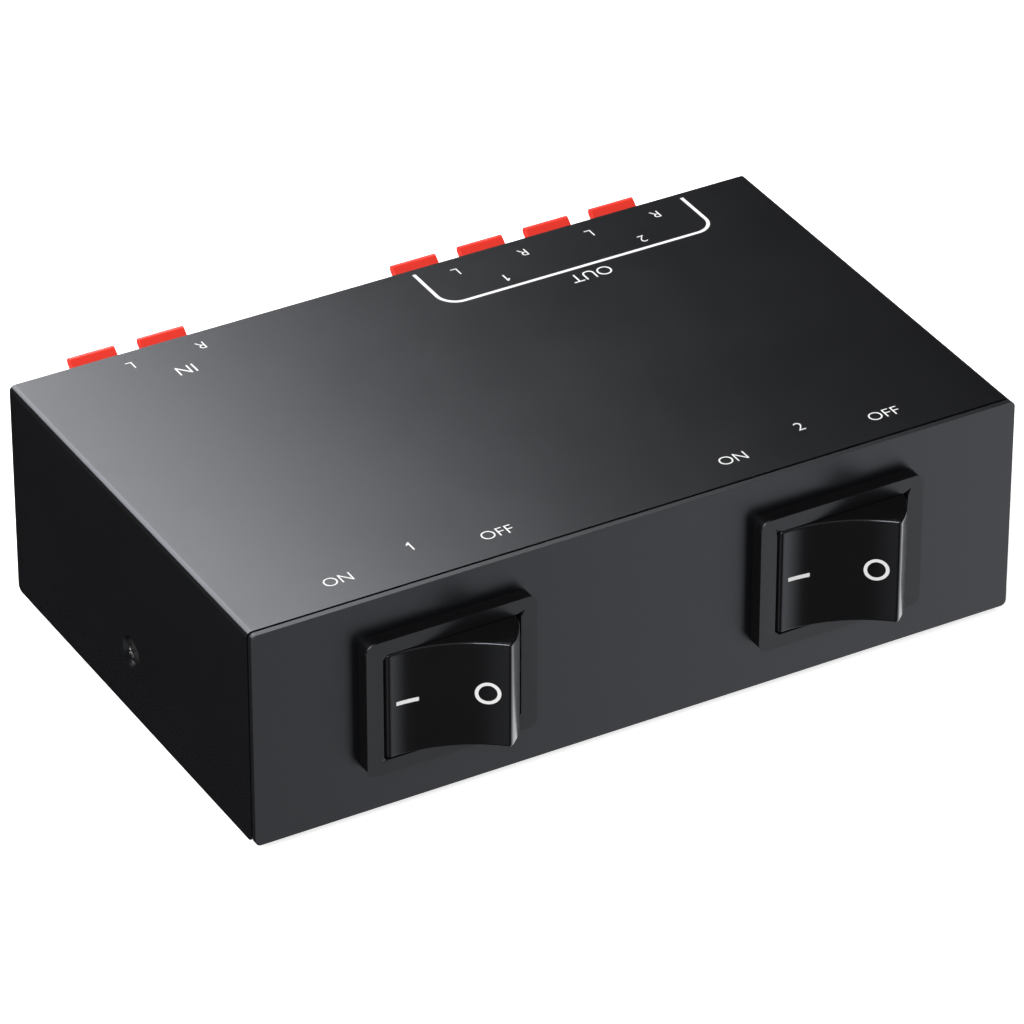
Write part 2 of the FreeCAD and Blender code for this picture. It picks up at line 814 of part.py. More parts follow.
screws = []
for kind, (middle, cells) in terminal_blocks.items():
    export(kind + "_terminal_body", terminal_body(middle, cells))
    strips = []
    for cell, x in zip(cell_names[kind], cell_places(middle, cells)):
        for row, colour in ((1, "red"), (-1, "black")):
            export(kind + "_" + cell + "_" + colour + "_lever", lever(x, row))
            strips.append(contact_strip(x, row))
    export(kind + "_contact_strips", Part.makeCompound(strips))
    screws += [terminal_screw(x) for x in terminal_screw_places(middle, cells)]
export("terminal_screws", Part.makeCompound(screws))

for name, wire in wires().items():
    export(name, wire)
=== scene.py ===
import json
import math

import bmesh
import bpy
from mathutils import Matrix, Vector

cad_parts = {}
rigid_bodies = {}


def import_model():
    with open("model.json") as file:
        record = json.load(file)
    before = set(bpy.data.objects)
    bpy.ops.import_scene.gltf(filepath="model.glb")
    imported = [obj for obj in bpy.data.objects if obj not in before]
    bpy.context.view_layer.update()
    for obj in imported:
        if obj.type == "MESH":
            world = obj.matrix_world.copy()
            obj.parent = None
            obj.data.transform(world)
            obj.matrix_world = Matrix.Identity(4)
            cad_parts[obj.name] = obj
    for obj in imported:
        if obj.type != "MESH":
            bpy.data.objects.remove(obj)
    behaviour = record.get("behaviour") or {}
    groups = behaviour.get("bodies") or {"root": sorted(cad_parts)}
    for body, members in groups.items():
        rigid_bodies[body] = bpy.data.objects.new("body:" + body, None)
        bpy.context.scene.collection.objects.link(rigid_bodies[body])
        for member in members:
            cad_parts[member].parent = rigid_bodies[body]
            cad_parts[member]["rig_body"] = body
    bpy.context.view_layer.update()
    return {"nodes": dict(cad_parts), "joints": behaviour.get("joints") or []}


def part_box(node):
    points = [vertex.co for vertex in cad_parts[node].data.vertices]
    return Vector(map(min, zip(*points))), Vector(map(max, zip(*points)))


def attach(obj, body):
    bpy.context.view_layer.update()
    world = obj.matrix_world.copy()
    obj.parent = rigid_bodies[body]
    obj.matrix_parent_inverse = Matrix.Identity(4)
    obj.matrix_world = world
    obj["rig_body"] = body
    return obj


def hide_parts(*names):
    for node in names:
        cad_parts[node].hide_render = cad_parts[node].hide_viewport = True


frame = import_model()

# The looks of a speaker selector switch: a black powder coated case, two black rocker
# switches in front, and rows of red and black spring levers behind.
# Lengths are written in millimetres and multiplied by mm. The origin is on the surface under
# the middle of the object, +X to the right seen from the front and +Y to the back.
mm = 0.001

# Places read from the frame
case_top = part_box("top_cover")[1].z
panel_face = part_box("base_chassis")[0].y
plate_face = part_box("input_terminal_body")[1].y
joints = {joint["name"]: joint for joint in frame["joints"]}
rockers = ("switch_1_rocker", "switch_2_rocker")

# Corners closer than this are one corner
weld_distance = 0.001 * mm
ink_weld_distance = 0.0001 * mm

# Edges, as the radius of the soft rounding of each kind of piece
sheet_edge = 0.16 * mm
panel_edge = 0.6 * mm
panel_back_edge = 0.28 * mm
bezel_edge = 0.14 * mm
block_edge = 0.18 * mm
lever_edge = 0.28 * mm
foot_edge = 0.5 * mm

# Front panel: its sheet, how far in from its sides an edge is part of its rim, and how much
# the gap along the cover grows
panel_sheet = 1.0 * mm
rim_reach = 1.1 * mm
gap_growth = 0.15 * mm

# Rocker, seen along its pivot in the middle position
half_chord = 9.9 * mm
face_distance = 7.24 * mm
dish = 1.95 * mm
rocker_height = 19.7 * mm
rest_tilt = math.radians(-20.2)
skirt_angle = math.radians(100)
rocker_edge = 0.45 * mm
end_radius = math.hypot(half_chord, face_distance)
dish_radius = (half_chord ** 2 + dish ** 2) / (2 * dish)
dish_centre = -(face_distance - dish) - dish_radius

# The bezel, and the opening in it that the rocker fills
bezel_chamfer = 0.4 * mm
opening_half_width = 12.5 * mm
opening_half_height = 10.05 * mm
opening_corner = 0.8 * mm
face_skin = 0.5 * mm
flat_angle = math.radians(1)
along_y = 0.999

# Marks printed on the rockers
dash_place = 6.6 * mm
dash_length = 3.75 * mm
dash_width = 0.72 * mm
ring_place = 6.3 * mm
ring_outer = 2.06 * mm
ring_stroke = 0.58 * mm
mark_rise = 0.24 * mm
ink_thickness = 0.02 * mm

# Lettering printed on the top
letter_height = 2.35 * mm
rear_letter_height = 2.1 * mm
rear_title_height = 2.6 * mm
capital_share = 0.69
letter_thinning = 0.04 * mm
bracket_stroke = 0.62 * mm
bracket_corner = 3.5 * mm
bracket_steps = 12

# The figure 1, in shares of its height, with the flag's head and foot in shares of the stroke
figure_stroke = 0.12
figure_shift = 0.12
flag_drop = 0.24
flag_reach = 0.2
flag_head = 0.8
flag_foot = 0.1

# Materials
coat_tone = (0.0036, 0.0037, 0.0044)
# Painted light: a cool blue tint on the reflections of the black finishes, standing in for cool
# studio light
painted_cool_reflection_tint = (0.86, 0.9, 1.0)
drift_per_metre = 60.0
rubbed_share = 0.7

# Screws and springs
side_screw_sink = 1.05 * mm
spring_length = 5.3 * mm

# Studio. Gloss sees a ground that turns light towards +X and below the horizon.
floor_glow = 0.75
light_right = (0.27, 0.57)
light_left = (-0.45, -0.8)
light_below = (0.0, -0.15)
light_above = (0.4, 0.8)
light_front = (0.0, -0.4)
ground_light = 2.1
left_share = 0.2
upper_light = 0.5
room_light = 0.02
ambient = 0.15

# Camera, worked out from the photo
camera_place = (-0.47047, -0.83227, 0.63278)
camera_direction = (0.41447677, 0.73198244, -0.54075014)
camera_lens = 240.29
camera_sensor = 36


# Meshes

def linked(name, mesh):
    piece = bpy.data.objects.new(name, mesh)
    bpy.context.scene.collection.objects.link(piece)
    return piece


def from_bmesh(name, bm):
    mesh = bpy.data.meshes.new(name)
    bm.to_mesh(mesh)
    bm.free()
    return linked(name, mesh)


def applied(piece):
    depsgraph = bpy.context.evaluated_depsgraph_get()
    mesh = bpy.data.meshes.new_from_object(piece.evaluated_get(depsgraph))
    piece.modifiers.clear()
    piece.data = mesh
    return piece


def plain(piece, smooth_angle=35):
    """The piece as a plain mesh, smooth up to an angle, with its large faces shaded flat."""
    mesh = applied(piece).data
    mesh.shade_smooth()
    mesh.set_sharp_from_angle(angle=math.radians(smooth_angle))
    flat = piece.modifiers.new("flat faces", "WEIGHTED_NORMAL")
    flat.mode = "FACE_AREA"
    flat.keep_sharp = True
    return applied(piece)


def round_edges(piece, radius, segments=3, angle=32):
    bevel = piece.modifiers.new("soft edges", "BEVEL")
    bevel.width = radius
    bevel.segments = segments
    bevel.limit_method = "ANGLE"
    bevel.angle_limit = math.radians(angle)
    bevel.use_clamp_overlap = True
    bevel.miter_outer = "MITER_ARC"
    return piece


def dressed(piece, material, body, nodes=()):
    """Gives a finished piece its material and its body, and hides the CAD nodes that it stands for.
    """
    piece.data.materials.clear()
    piece.data.materials.append(material)
    for polygon in piece.data.polygons:
        polygon.material_index = 0
    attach(piece, body)
    if nodes:
        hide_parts(*nodes)
    return piece


def body_of(cad_node):
    return frame["nodes"][cad_node]["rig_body"]


def welded(cad_node):
    """The mesh of a CAD node, for editing, with its corners merged."""
    bm = bmesh.new()
    bm.from_mesh(frame["nodes"][cad_node].data)
    bmesh.ops.remove_doubles(bm, verts=bm.verts, dist=weld_distance)
    return bm


def add_block(bm, outline, rise):
    """A closed block between a flat outline and the same outline moved by rise."""
    face = bm.faces.new([bm.verts.new(corner) for corner in outline])
    grown = bmesh.ops.extrude_face_region(bm, geom=[face])
    moved = [item for item in grown["geom"] if isinstance(item, bmesh.types.BMVert)]
    bmesh.ops.translate(bm, verts=moved, vec=Vector(rise))
    bmesh.ops.recalc_face_normals(bm, faces=bm.faces)


def eased(cad_node, name, radius, material, segments=3, change=None):
    """A CAD node's shape with softly rounded edges, in place of the node."""
    piece = from_bmesh(name, welded(cad_node))
    if change:
        change(piece)
    piece = plain(round_edges(piece, radius, segments))
    return dressed(piece, material, body_of(cad_node), [cad_node])


# Shader node groups

def group(name, inputs, outputs):
    tree = bpy.data.node_groups.new(name, "ShaderNodeTree")
    for label, kind, value in inputs:
        socket = tree.interface.new_socket(label, in_out="INPUT", socket_type="NodeSocket" + kind)
        socket.default_value = value
    for label, kind in outputs:
        tree.interface.new_socket(label, in_out="OUTPUT", socket_type="NodeSocket" + kind)
    return tree, tree.nodes.new("NodeGroupInput"), tree.nodes.new("NodeGroupOutput")


def node(tree, kind, **settings):
    made = tree.nodes.new("ShaderNode" + kind)
    for key, value in settings.items():
        setattr(made, key, value)
    return made


def math_node(tree, operation, first, second):
    made = node(tree, "Math", operation=operation)
    for socket, value in zip(made.inputs, (first, second)):
        if isinstance(value, (int, float)):
            socket.default_value = value
        else:
            tree.links.new(value, socket)
    return made.outputs[0]


def noise(tree, coordinates, scale, detail=3.0):
    made = node(tree, "TexNoise")
    made.inputs["Detail"].default_value = detail
    tree.links.new(coordinates, made.inputs["Vector"])
    if isinstance(scale, (int, float)):
        made.inputs["Scale"].default_value = scale
    else:
        tree.links.new(scale, made.inputs["Scale"])
    return made.outputs["Fac"]


def direct_rays(tree, rays):
    """1 for rays that come straight from the camera or through a clear piece."""
    return math_node(tree, "ADD", rays.outputs["Is Camera Ray"],
                     rays.outputs["Is Transmission Ray"])


def grain_group():
    """Fine relief, with a slow drift of tone and gloss, as on coated sheet or moulded parts."""
    tree, start, end = group("fine grain", [
        ("Light Tone", "Color", (0.05, 0.05, 0.05, 1)),
        ("Dark Tone", "Color", (0.03, 0.03, 0.03, 1)),
        ("Grains Per Metre", "Float", 2500.0),
        ("Drift Per Metre", "Float", 60.0),
        ("Roughness", "Float", 0.4),
        ("Roughness Spread", "Float", 0.08),
        ("Relief", "Float", 0.2),
        ("Relief Height", "Float", 0.00002),
    ], [("Tone", "Color"), ("Roughness", "Float"), ("Normal", "Vector")])
    link = tree.links.new
    place = node(tree, "TexCoord").outputs["Object"]
    grains = noise(tree, place, start.outputs["Grains Per Metre"], 2.0)
    drift = noise(tree, place, start.outputs["Drift Per Metre"], 4.0)
    blend = node(tree, "Mix", data_type="RGBA")
    both = math_node(tree, "ADD", math_node(tree, "MULTIPLY", grains, 0.5),
                     math_node(tree, "MULTIPLY", drift, 0.5))
    link(both, blend.inputs["Factor"])
    link(start.outputs["Dark Tone"], blend.inputs[6])
    link(start.outputs["Light Tone"], blend.inputs[7])
    centred = math_node(tree, "SUBTRACT", both, 0.5)
    spread = math_node(tree, "MULTIPLY", centred, start.outputs["Roughness Spread"])
    rough = math_node(tree, "ADD", start.outputs["Roughness"], spread)
    bump = node(tree, "Bump")
    link(grains, bump.inputs["Height"])
    link(start.outputs["Relief"], bump.inputs["Strength"])
    link(start.outputs["Relief Height"], bump.inputs["Distance"])
    link(blend.outputs[2], end.inputs["Tone"])
    link(rough, end.inputs["Roughness"])
    link(bump.outputs["Normal"], end.inputs["Normal"])
    return tree


def wear_group():
    """Edges that hands have rubbed a little lighter and smoother."""
    tree, start, end = group("rubbed edges", [
        ("Tone", "Color", (0.05, 0.05, 0.05, 1)),
        ("Rubbed Tone", "Color", (0.1, 0.1, 0.1, 1)),
        ("Roughness", "Float", 0.4),
        ("Rubbed Roughness", "Float", 0.3),
        ("Amount", "Float", 0.5),
    ], [("Tone", "Color"), ("Roughness", "Float")])
    link = tree.links.new
    edges = node(tree, "MapRange", clamp=True)
    link(node(tree, "NewGeometry").outputs["Pointiness"], edges.inputs["Value"])
    edges.inputs["From Min"].default_value = 0.52
    edges.inputs["From Max"].default_value = 0.62
    patches = noise(tree, node(tree, "TexCoord").outputs["Object"], 300.0)
    mask = math_node(tree, "MULTIPLY", math_node(tree, "MULTIPLY", edges.outputs[0], patches),
                     start.outputs["Amount"])
    tone = node(tree, "Mix", data_type="RGBA")
    link(mask, tone.inputs["Factor"])
    link(start.outputs["Tone"], tone.inputs[6])
    link(start.outputs["Rubbed Tone"], tone.inputs[7])
    rough = node(tree, "Mix", data_type="FLOAT")
    link(mask, rough.inputs["Factor"])
    link(start.outputs["Roughness"], rough.inputs[2])
    link(start.outputs["Rubbed Roughness"], rough.inputs[3])
    link(tone.outputs[2], end.inputs["Tone"])
    link(rough.outputs[0], end.inputs["Roughness"])
    return tree


fine_grain = grain_group()
rubbed_edges = wear_group()


# Materials

def finish_material(name, tone, roughness, grains=2500.0, relief=0.2, height=0.00002,
                    spread=0.08, contrast=0.25, wear=0.4, rubbed=None, metallic=0.0,
                    specular=0.5, tint=(1, 1, 1)):
    """A principled material whose tone, gloss and relief come from the two shared groups."""
    material = bpy.data.materials.new(name)
    material.use_nodes = True
    tree = material.node_tree
    shader = tree.nodes["Principled BSDF"]
    grain = node(tree, "Group", node_tree=fine_grain)
    edges = node(tree, "Group", node_tree=rubbed_edges)
    grain.inputs["Light Tone"].default_value = [c * (1 + contrast) for c in tone] + [1]
    grain.inputs["Dark Tone"].default_value = [c * (1 - contrast) for c in tone] + [1]
    grain.inputs["Grains Per Metre"].default_value = grains
    grain.inputs["Drift Per Metre"].default_value = drift_per_metre
    grain.inputs["Roughness"].default_value = roughness
    grain.inputs["Roughness Spread"].default_value = spread
    grain.inputs["Relief"].default_value = relief
    grain.inputs["Relief Height"].default_value = height
    edges.inputs["Rubbed Tone"].default_value = [*(rubbed or [c * 2 for c in tone]), 1]
    edges.inputs["Rubbed Roughness"].default_value = roughness * rubbed_share
    edges.inputs["Amount"].default_value = wear
    tree.links.new(grain.outputs["Tone"], edges.inputs["Tone"])
    tree.links.new(grain.outputs["Roughness"], edges.inputs["Roughness"])
    tree.links.new(edges.outputs["Tone"], shader.inputs["Base Color"])
    tree.links.new(edges.outputs["Roughness"], shader.inputs["Roughness"])
    tree.links.new(grain.outputs["Normal"], shader.inputs["Normal"])
    shader.inputs["Metallic"].default_value = metallic
    shader.inputs["Specular IOR Level"].default_value = specular
    # Specular Tint colours the reflections; the cool tint passed in is painted cool light
    shader.inputs["Specular Tint"].default_value = [*tint, 1]
    return material


powder_coat = finish_material("black powder coat", coat_tone, 0.25, grains=2600, relief=0.15,
                              height=0.00003, spread=0.1, tint=painted_cool_reflection_tint)
panel_coat = finish_material("black panel coat", coat_tone, 0.36, grains=2600, relief=0.2,
                             height=0.00003, spread=0.1, tint=painted_cool_reflection_tint)
switch_plastic = finish_material("satin black nylon", (0.006, 0.006, 0.0065), 0.34, grains=5000,
                                 relief=0.15, height=0.00001, specular=0.38, tint=painted_cool_reflection_tint)
rocker_plastic = finish_material("polished black rocker", (0.0075, 0.0075, 0.008), 0.16, grains=3000,
                                 relief=0.05, height=0.000005, spread=0.05, tint=painted_cool_reflection_tint)
terminal_plastic = finish_material("black terminal block", (0.014, 0.014, 0.015), 0.45,
                                   grains=4000, relief=0.2, height=0.000015)
red_plastic = finish_material("red lever", (0.93, 0.036, 0.02), 0.36, grains=3000, relief=0.08,
                              height=0.00001, contrast=0.06, rubbed=(0.9, 0.14, 0.09))
black_lever_plastic = finish_material("black lever", (0.012, 0.012, 0.013), 0.33, grains=3000,
                                      relief=0.08, height=0.00001)
black_screw = finish_material("black screw", (0.012, 0.012, 0.012), 0.3, grains=3500,
                              relief=0.1, height=0.00001, metallic=0.3, wear=0.9,
                              rubbed=(0.12, 0.12, 0.12))
white_ink = finish_material("white ink", (0.86, 0.86, 0.86), 0.5, grains=6000, relief=0.05,
                            height=0.000002, contrast=0.02, wear=0.0)
rubber = finish_material("black rubber foot", (0.018, 0.018, 0.018), 0.75, grains=2000,
                         relief=0.4, height=0.00004)
natural_nylon = finish_material("natural nylon plunger", (0.7, 0.67, 0.58), 0.4, grains=2500,
                                relief=0.1, height=0.00001, contrast=0.05)
spring_steel = finish_material("spring steel wire", (0.5, 0.5, 0.52), 0.28, grains=6000,
                               relief=0.1, height=0.000005, metallic=1.0)
brass = finish_material("stamped brass", (0.74, 0.52, 0.22), 0.26, grains=5000, relief=0.12,
                        height=0.000008, contrast=0.1, metallic=1.0)
tinned_steel = finish_material("tinned steel strip", (0.66, 0.66, 0.65), 0.24, grains=5000,
                               relief=0.1, height=0.000008, contrast=0.08, metallic=1.0)
red_wire = finish_material("red wire insulation", (0.5, 0.03, 0.02), 0.42, grains=2500,
                           relief=0.1, height=0.00001, contrast=0.08)
black_wire = finish_material("black wire insulation", (0.02, 0.02, 0.02), 0.42, grains=2500,
                             relief=0.1, height=0.00001)


# Case

def soften_panel(chassis):
    """Rounds the rim of the front panel, more at its face than behind it."""
    bm = bmesh.new()
    bm.from_mesh(chassis.data)
    low, high = chassis.bound_box[0], chassis.bound_box[6]
    front, back = [], []
    for edge in bm.edges:
        middle = (edge.verts[0].co + edge.verts[1].co) / 2
        near_rim = (middle.x - low[0] < rim_reach or high[0] - middle.x < rim_reach
                    or middle.z - low[2] < rim_reach or high[2] - middle.z < rim_reach)
        depths = [vertex.co.y - low[1] for vertex in edge.verts]
        if near_rim and max(depths) < ink_thickness:
            front.append(edge)
        elif near_rim and abs(depths[0] - depths[1]) < ink_thickness \
                and abs(depths[0] - panel_sheet) < ink_thickness and middle.z - low[2] > face_skin:
            back.append(edge)
    bmesh.ops.bevel(bm, geom=back, offset=panel_back_edge, segments=3, profile=0.5,
                    affect="EDGES", clamp_overlap=True)
    front = [edge for edge in front if edge.is_valid]
    bmesh.ops.bevel(bm, geom=front, offset=panel_edge, segments=5, profile=0.5, affect="EDGES",
                    clamp_overlap=True)
    bm.to_mesh(chassis.data)
    bm.free()


def top_cover():
    """The folded cover, lowered by the thickness of the ink that is printed on it."""
    piece = from_bmesh("folded_top_cover", welded("top_cover"))
    front = min(vertex.co.y for vertex in piece.data.vertices)
    for vertex in piece.data.vertices:
        if vertex.co.y < front + face_skin:
            vertex.co.y += gap_growth
    plain(round_edges(piece, sheet_edge, 2))
    scale = (case_top - ink_thickness) / case_top
    piece.data.transform(Matrix.Diagonal((1, 1, scale, 1)))
    return dressed(piece, powder_coat, "case", ["top_cover"])


def case():
    top_cover()
    eased("base_chassis", "folded_chassis", sheet_edge, panel_coat, 2, change=soften_panel)
    eased("rubber_feet", "round_rubber_feet", foot_edge, rubber)


# Rocker switches

def dish_point(x, z, lift=0.0):
    """A point on the rocker's dished face in its middle position, lifted off the face."""
    y = dish_centre + math.sqrt(dish_radius ** 2 - x ** 2)
    outward = Vector((-x, dish_centre - y, 0)).normalized()
    return Vector((x, y, z)) + outward * lift


def rocker_side(steps=28, end_steps=14):
    """The rocker's outline: the dished face, the round ends and the flat underside."""
    outline = []
    for index in range(steps + 1):
        outline.append(dish_point(half_chord * (2 * index / steps - 1), 0))
    first = math.atan2(half_chord, face_distance)
    right = []
    for index in range(1, end_steps + 1):
        angle = first + (skirt_angle - first) * index / end_steps
        right.append(Vector((end_radius * math.sin(angle), -end_radius * math.cos(angle), 0)))
    left = [Vector((-point.x, point.y, 0)) for point in reversed(right)]
    return outline + right + left


def on_pivot(piece, rocker):
    """Turns a rocker piece to its rest position and carries it to its pivot."""
    pivot = Vector(joints[rocker + "_tilt"]["pos_m"])
    piece.data.transform(Matrix.Translation(pivot) @ Matrix.Rotation(rest_tilt, 4, "Z"))
    return piece


def rocker_cap(rocker):
    """The rocker's outline raised to its height, with soft edges."""
    bm = bmesh.new()
    foot = Vector((0, 0, rocker_height / 2))
    add_block(bm, [point - foot for point in rocker_side()], (0, 0, rocker_height))
    piece = plain(round_edges(from_bmesh(rocker + "_paddle", bm), rocker_edge, 4, 25), 25)
    return dressed(on_pivot(piece, rocker), rocker_plastic, rocker, [rocker])


def strip_of_ink(name, rows):
    """A thin closed sheet of ink through rows of points on the dished face."""
    bm = bmesh.new()
    made = [[bm.verts.new(point) for point in row] for row in rows]
    for before, after in zip(made, made[1:]):
        for index in range(len(before) - 1):
            bm.faces.new((before[index], after[index], after[index + 1], before[index + 1]))
    bmesh.ops.remove_doubles(bm, verts=bm.verts, dist=weld_distance)
    bmesh.ops.recalc_face_normals(bm, faces=bm.faces)
    if sum(polygon.normal.y for polygon in bm.faces) > 0:
        bmesh.ops.reverse_faces(bm, faces=bm.faces)
    piece = from_bmesh(name, bm)
    thick = piece.modifiers.new("ink", "SOLIDIFY")
    thick.thickness = 2 * ink_thickness
    thick.offset = -1
    return plain(piece)


def dash_mark(rocker, steps=12):
    rows = []
    for index in range(steps + 1):
        x = -dash_place + dash_length * (index / steps - 0.5)
        rows.append([dish_point(x, mark_rise + side * dash_width / 2, ink_thickness)
                     for side in (-1, 1)])
    return strip_of_ink(rocker + "_on_mark", rows)


def ring_mark(rocker, steps=72):
    rows = []
    for index in range(steps + 1):
        angle = 2 * math.pi * index / steps
        row = []
        for radius in (ring_outer - ring_stroke, ring_outer):
            row.append(dish_point(ring_place + radius * math.cos(angle),
                                  mark_rise + radius * math.sin(angle), ink_thickness))
        rows.append(row)
    return strip_of_ink(rocker + "_off_mark", rows)


def shape_bezel(housing):
    """Makes the bezel's rim crisp and rounds the four corners of its opening."""
    bm = bmesh.new()
    bm.from_mesh(housing.data)
    low, high = housing.bound_box[0], housing.bound_box[6]
    middle_x = (low[0] + high[0]) / 2
    middle_z = (low[2] + high[2]) / 2
    face = [edge for edge in bm.edges
            if max(vertex.co.y for vertex in edge.verts) < low[1] + ink_thickness]
    bmesh.ops.dissolve_limit(bm, angle_limit=flat_angle, edges=face,
                             verts=list({vertex for edge in face for vertex in edge.verts}))
    wider = 1 + bezel_chamfer / (high[0] - middle_x)
    taller = 1 + bezel_chamfer / (high[2] - middle_z)
    for vertex in bm.verts:
        across, up = vertex.co.x - middle_x, vertex.co.z - middle_z
        outside = (abs(across) > opening_half_width + face_skin
                   or abs(up) > opening_half_height + face_skin)
        if vertex.co.y < low[1] + ink_thickness and outside:
            vertex.co.x = middle_x + across * wider
            vertex.co.z = middle_z + up * taller
    corners = []
    for edge in bm.edges:
        first, second = (vertex.co for vertex in edge.verts)
        along = (first - second).normalized()
        if abs(along.y) > along_y and min(first.y, second.y) < low[1] + face_skin \
                and abs(abs(first.x - middle_x) - opening_half_width) < face_skin:
            corners.append(edge)
    bmesh.ops.bevel(bm, geom=corners, offset=opening_corner, segments=6, profile=0.5,
                    affect="EDGES", clamp_overlap=True)
    bm.to_mesh(housing.data)
    bm.free()


def rocker_switches():
    for rocker in rockers:
        rocker_cap(rocker)
        for mark in (dash_mark(rocker), ring_mark(rocker)):
            dressed(on_pivot(mark, rocker), white_ink, rocker)
        switch = rocker.replace("_rocker", "")
        eased(switch + "_housing", switch + "_moulded_housing", bezel_edge, switch_plastic,
              change=shape_bezel)


# Screws and springs, each repeated by a Geometry Nodes tree

def repeat_tree(name, inputs):
    tree = bpy.data.node_groups.new(name, "GeometryNodeTree")
    tree.interface.new_socket("Places", in_out="INPUT", socket_type="NodeSocketGeometry")
    for label, kind in inputs:
        tree.interface.new_socket(label, in_out="INPUT", socket_type="NodeSocket" + kind)
    tree.interface.new_socket("Pieces", in_out="OUTPUT", socket_type="NodeSocketGeometry")
    return tree, tree.nodes.new("NodeGroupInput"), tree.nodes.new("NodeGroupOutput")


def geometry_node(tree, kind, settings=(), **inputs):
    """A node of the tree. Each input is a number, a vector or another node's output."""
    made = tree.nodes.new(kind)
    for key, value in dict(settings).items():
        setattr(made, key, value)
    for label, value in inputs.items():
        socket = made.inputs[label.replace("_", " ")]
        if isinstance(value, bpy.types.NodeSocket):
            tree.links.new(value, socket)
        else:
            socket.default_value = value
    return made


def combined(tree, x=0.0, y=0.0, z=0.0):
    return geometry_node(tree, "ShaderNodeCombineXYZ", X=x, Y=y, Z=z).outputs[0]


def scaled(tree, value, factor):
    return math_node(tree, "MULTIPLY", value, factor)


def joined(tree, *shapes):
    made = tree.nodes.new("GeometryNodeJoinGeometry")
    for shape in shapes:
        tree.links.new(shape, made.inputs[0])
    return made.outputs[0]


def repeated(tree, start, end, shape):
    """Puts the shape on every place, its +Z along Direction, each turned by its own angle."""
    facing = geometry_node(tree, "FunctionNodeAlignRotationToVector", {"axis": "Z"},
                           Vector=start.outputs["Direction"])
    copies = geometry_node(tree, "GeometryNodeInstanceOnPoints", Points=start.outputs["Places"],
                           Instance=shape, Rotation=facing.outputs[0])
    chance = geometry_node(tree, "FunctionNodeRandomValue", {"data_type": "FLOAT"},
                           Seed=start.outputs["Seed"])
    turn = combined(tree, z=scaled(tree, chance.outputs[1], math.pi))
    turned = geometry_node(tree, "GeometryNodeRotateInstances", Instances=copies.outputs[0],
                           Rotation=turn)
    real = geometry_node(tree, "GeometryNodeRealizeInstances", Geometry=turned.outputs[0])
    painted = geometry_node(tree, "GeometryNodeSetMaterial", Geometry=real.outputs[0],
                            Material=start.outputs["Material"])
    tree.links.new(painted.outputs[0], end.inputs[0])
    return tree


def screw_tree():
    """A cross recessed screw: a domed head, a shank under it and a cross in the top."""
    tree, start, end = repeat_tree("cross recessed screw", [
        ("Head Radius", "Float"), ("Head Height", "Float"), ("Shank Radius", "Float"),
        ("Shank Length", "Float"), ("Recess Span", "Float"),
        ("Recess Width", "Float"), ("Recess Depth", "Float"), ("Direction", "Vector"),
        ("Seed", "Int"), ("Material", "Material")])
    size = start.outputs
    ball = geometry_node(tree, "GeometryNodeMeshUVSphere", Segments=64, Rings=32, Radius=1.0)
    head = geometry_node(tree, "GeometryNodeTransform", Geometry=ball.outputs[0],
                         Scale=combined(tree, size["Head Radius"], size["Head Radius"],
                                        size["Head Height"]))
    carved = head.outputs[0]
    for quarter in (0.0, math.pi / 2):
        arm = geometry_node(tree, "GeometryNodeMeshCube",
                            Size=combined(tree, size["Recess Span"], size["Recess Width"],
                                          scaled(tree, size["Recess Depth"], 2.0)))
        placed = geometry_node(tree, "GeometryNodeTransform", Geometry=arm.outputs[0],
                               Translation=combined(tree, z=size["Head Height"]),
                               Rotation=(0, 0, quarter))
        cut = tree.nodes.new("GeometryNodeMeshBoolean")
        cut.operation = "DIFFERENCE"
        cut.solver = "EXACT"
        tree.links.new(carved, cut.inputs[0])
        tree.links.new(placed.outputs[0], cut.inputs[1])
        carved = cut.outputs[0]
    shank = geometry_node(tree, "GeometryNodeMeshCylinder", Vertices=32,
                          Radius=size["Shank Radius"], Depth=size["Shank Length"])
    drop = geometry_node(tree, "GeometryNodeTransform", Geometry=shank.outputs[0],
                         Translation=combined(tree, z=scaled(tree, size["Shank Length"], -0.5)))
    return repeated(tree, start, end, joined(tree, carved, drop.outputs[0]))


def spring_tree():
    """A coil spring of round wire, standing along its direction from each place."""
    tree, start, end = repeat_tree("plunger spring", [
        ("Coil Radius", "Float"), ("Wire Radius", "Float"), ("Length", "Float"),
        ("Turns", "Float"), ("Direction", "Vector"), ("Seed", "Int"), ("Material", "Material")])
    size = start.outputs
    coil = geometry_node(tree, "GeometryNodeCurveSpiral", Resolution=24, Rotations=size["Turns"],
                         Start_Radius=size["Coil Radius"], End_Radius=size["Coil Radius"],
                         Height=size["Length"])
    ring = geometry_node(tree, "GeometryNodeCurvePrimitiveCircle", Resolution=10,
                         Radius=size["Wire Radius"])
    wire = geometry_node(tree, "GeometryNodeCurveToMesh", Curve=coil.outputs[0],
                         Profile_Curve=ring.outputs[0], Fill_Caps=True)
    return repeated(tree, start, end, wire.outputs[0])


def made_on(name, places, tree, **sizes):
    """Runs a tree on points at the places and keeps the result as a plain mesh."""
    mesh = bpy.data.meshes.new(name)
    mesh.from_pydata(places, [], [])
    piece = linked(name, mesh)
    modifier = piece.modifiers.new(name, "NODES")
    modifier.node_group = tree
    for item in tree.interface.items_tree:
        key = item.name.replace(" ", "_").lower()
        if item.in_out == "INPUT" and key in sizes:
            modifier[item.identifier] = sizes[key]
    piece.update_tag()
    return plain(piece, 30)


